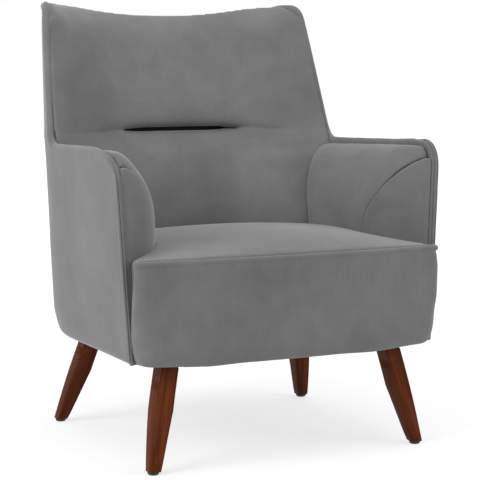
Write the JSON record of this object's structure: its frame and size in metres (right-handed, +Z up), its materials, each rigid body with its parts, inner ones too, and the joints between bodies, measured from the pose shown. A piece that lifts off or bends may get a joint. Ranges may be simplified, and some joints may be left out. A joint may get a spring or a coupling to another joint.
{
  "type": "accent armchair",
  "caption": "Accent armchair with a winged back, rolled rims along arms and wings, a crowned tight seat, a slit between the back pads and splayed wooden legs.",
  "frame": {"origin": "on the floor, under the middle of the chair's box", "axes": "+Z up, -Y towards the sitter's front, +X to the right as seen from the front"},
  "size_m": [0.7322, 0.732, 0.9337],
  "materials": {
    "cover": "mid-grey short-pile velvet over foam",
    "lining": "black lining cloth and elastic webbing",
    "leg_wood": "red-brown walnut stain, satin",
    "frame_wood": "plain beech, unfinished",
    "plywood": "moulded plywood, unfinished",
    "steel": "plain steel wire and hardware",
    "glide": "black, domed"
  },
  "bodies": {
    "root": {"left_outer_side": "cover", "right_outer_side": "cover", "left_rim": "cover", "right_rim": "cover", "outside_back": "cover", "left_arm_pad": "cover", "right_arm_pad": "cover", "left_arm_facing": "cover", "right_arm_facing": "cover", "seat_cushion": "cover", "seat_front_border": "cover", "seat_welt": "cover", "inside_back_upper": "cover", "inside_back_lower": "cover", "left_side_frame": "plywood", "right_side_frame": "plywood", "left_back_post": "frame_wood", "right_back_post": "frame_wood", "top_back_rail": "frame_wood", "middle_back_rail": "frame_wood", "lower_back_rail": "frame_wood", "back_webbing": "lining", "front_rail": "frame_wood", "rear_rail": "frame_wood", "left_rail": "frame_wood", "right_rail": "frame_wood", "front_left_block": "frame_wood", "front_right_block": "frame_wood", "rear_left_block": "frame_wood", "rear_right_block": "frame_wood", "seat_springs": "steel", "spring_clips": "steel", "dust_cover": "lining", "front_left_leg": "leg_wood", "front_right_leg": "leg_wood", "rear_left_leg": "leg_wood", "rear_right_leg": "leg_wood", "front_left_glide": "glide", "front_right_glide": "glide", "rear_left_glide": "glide", "rear_right_glide": "glide", "leg_bolts": "steel", "leg_washers": "steel", "leg_nuts": "steel", "glide_nails": "steel"}
  },
  "joints": []
}
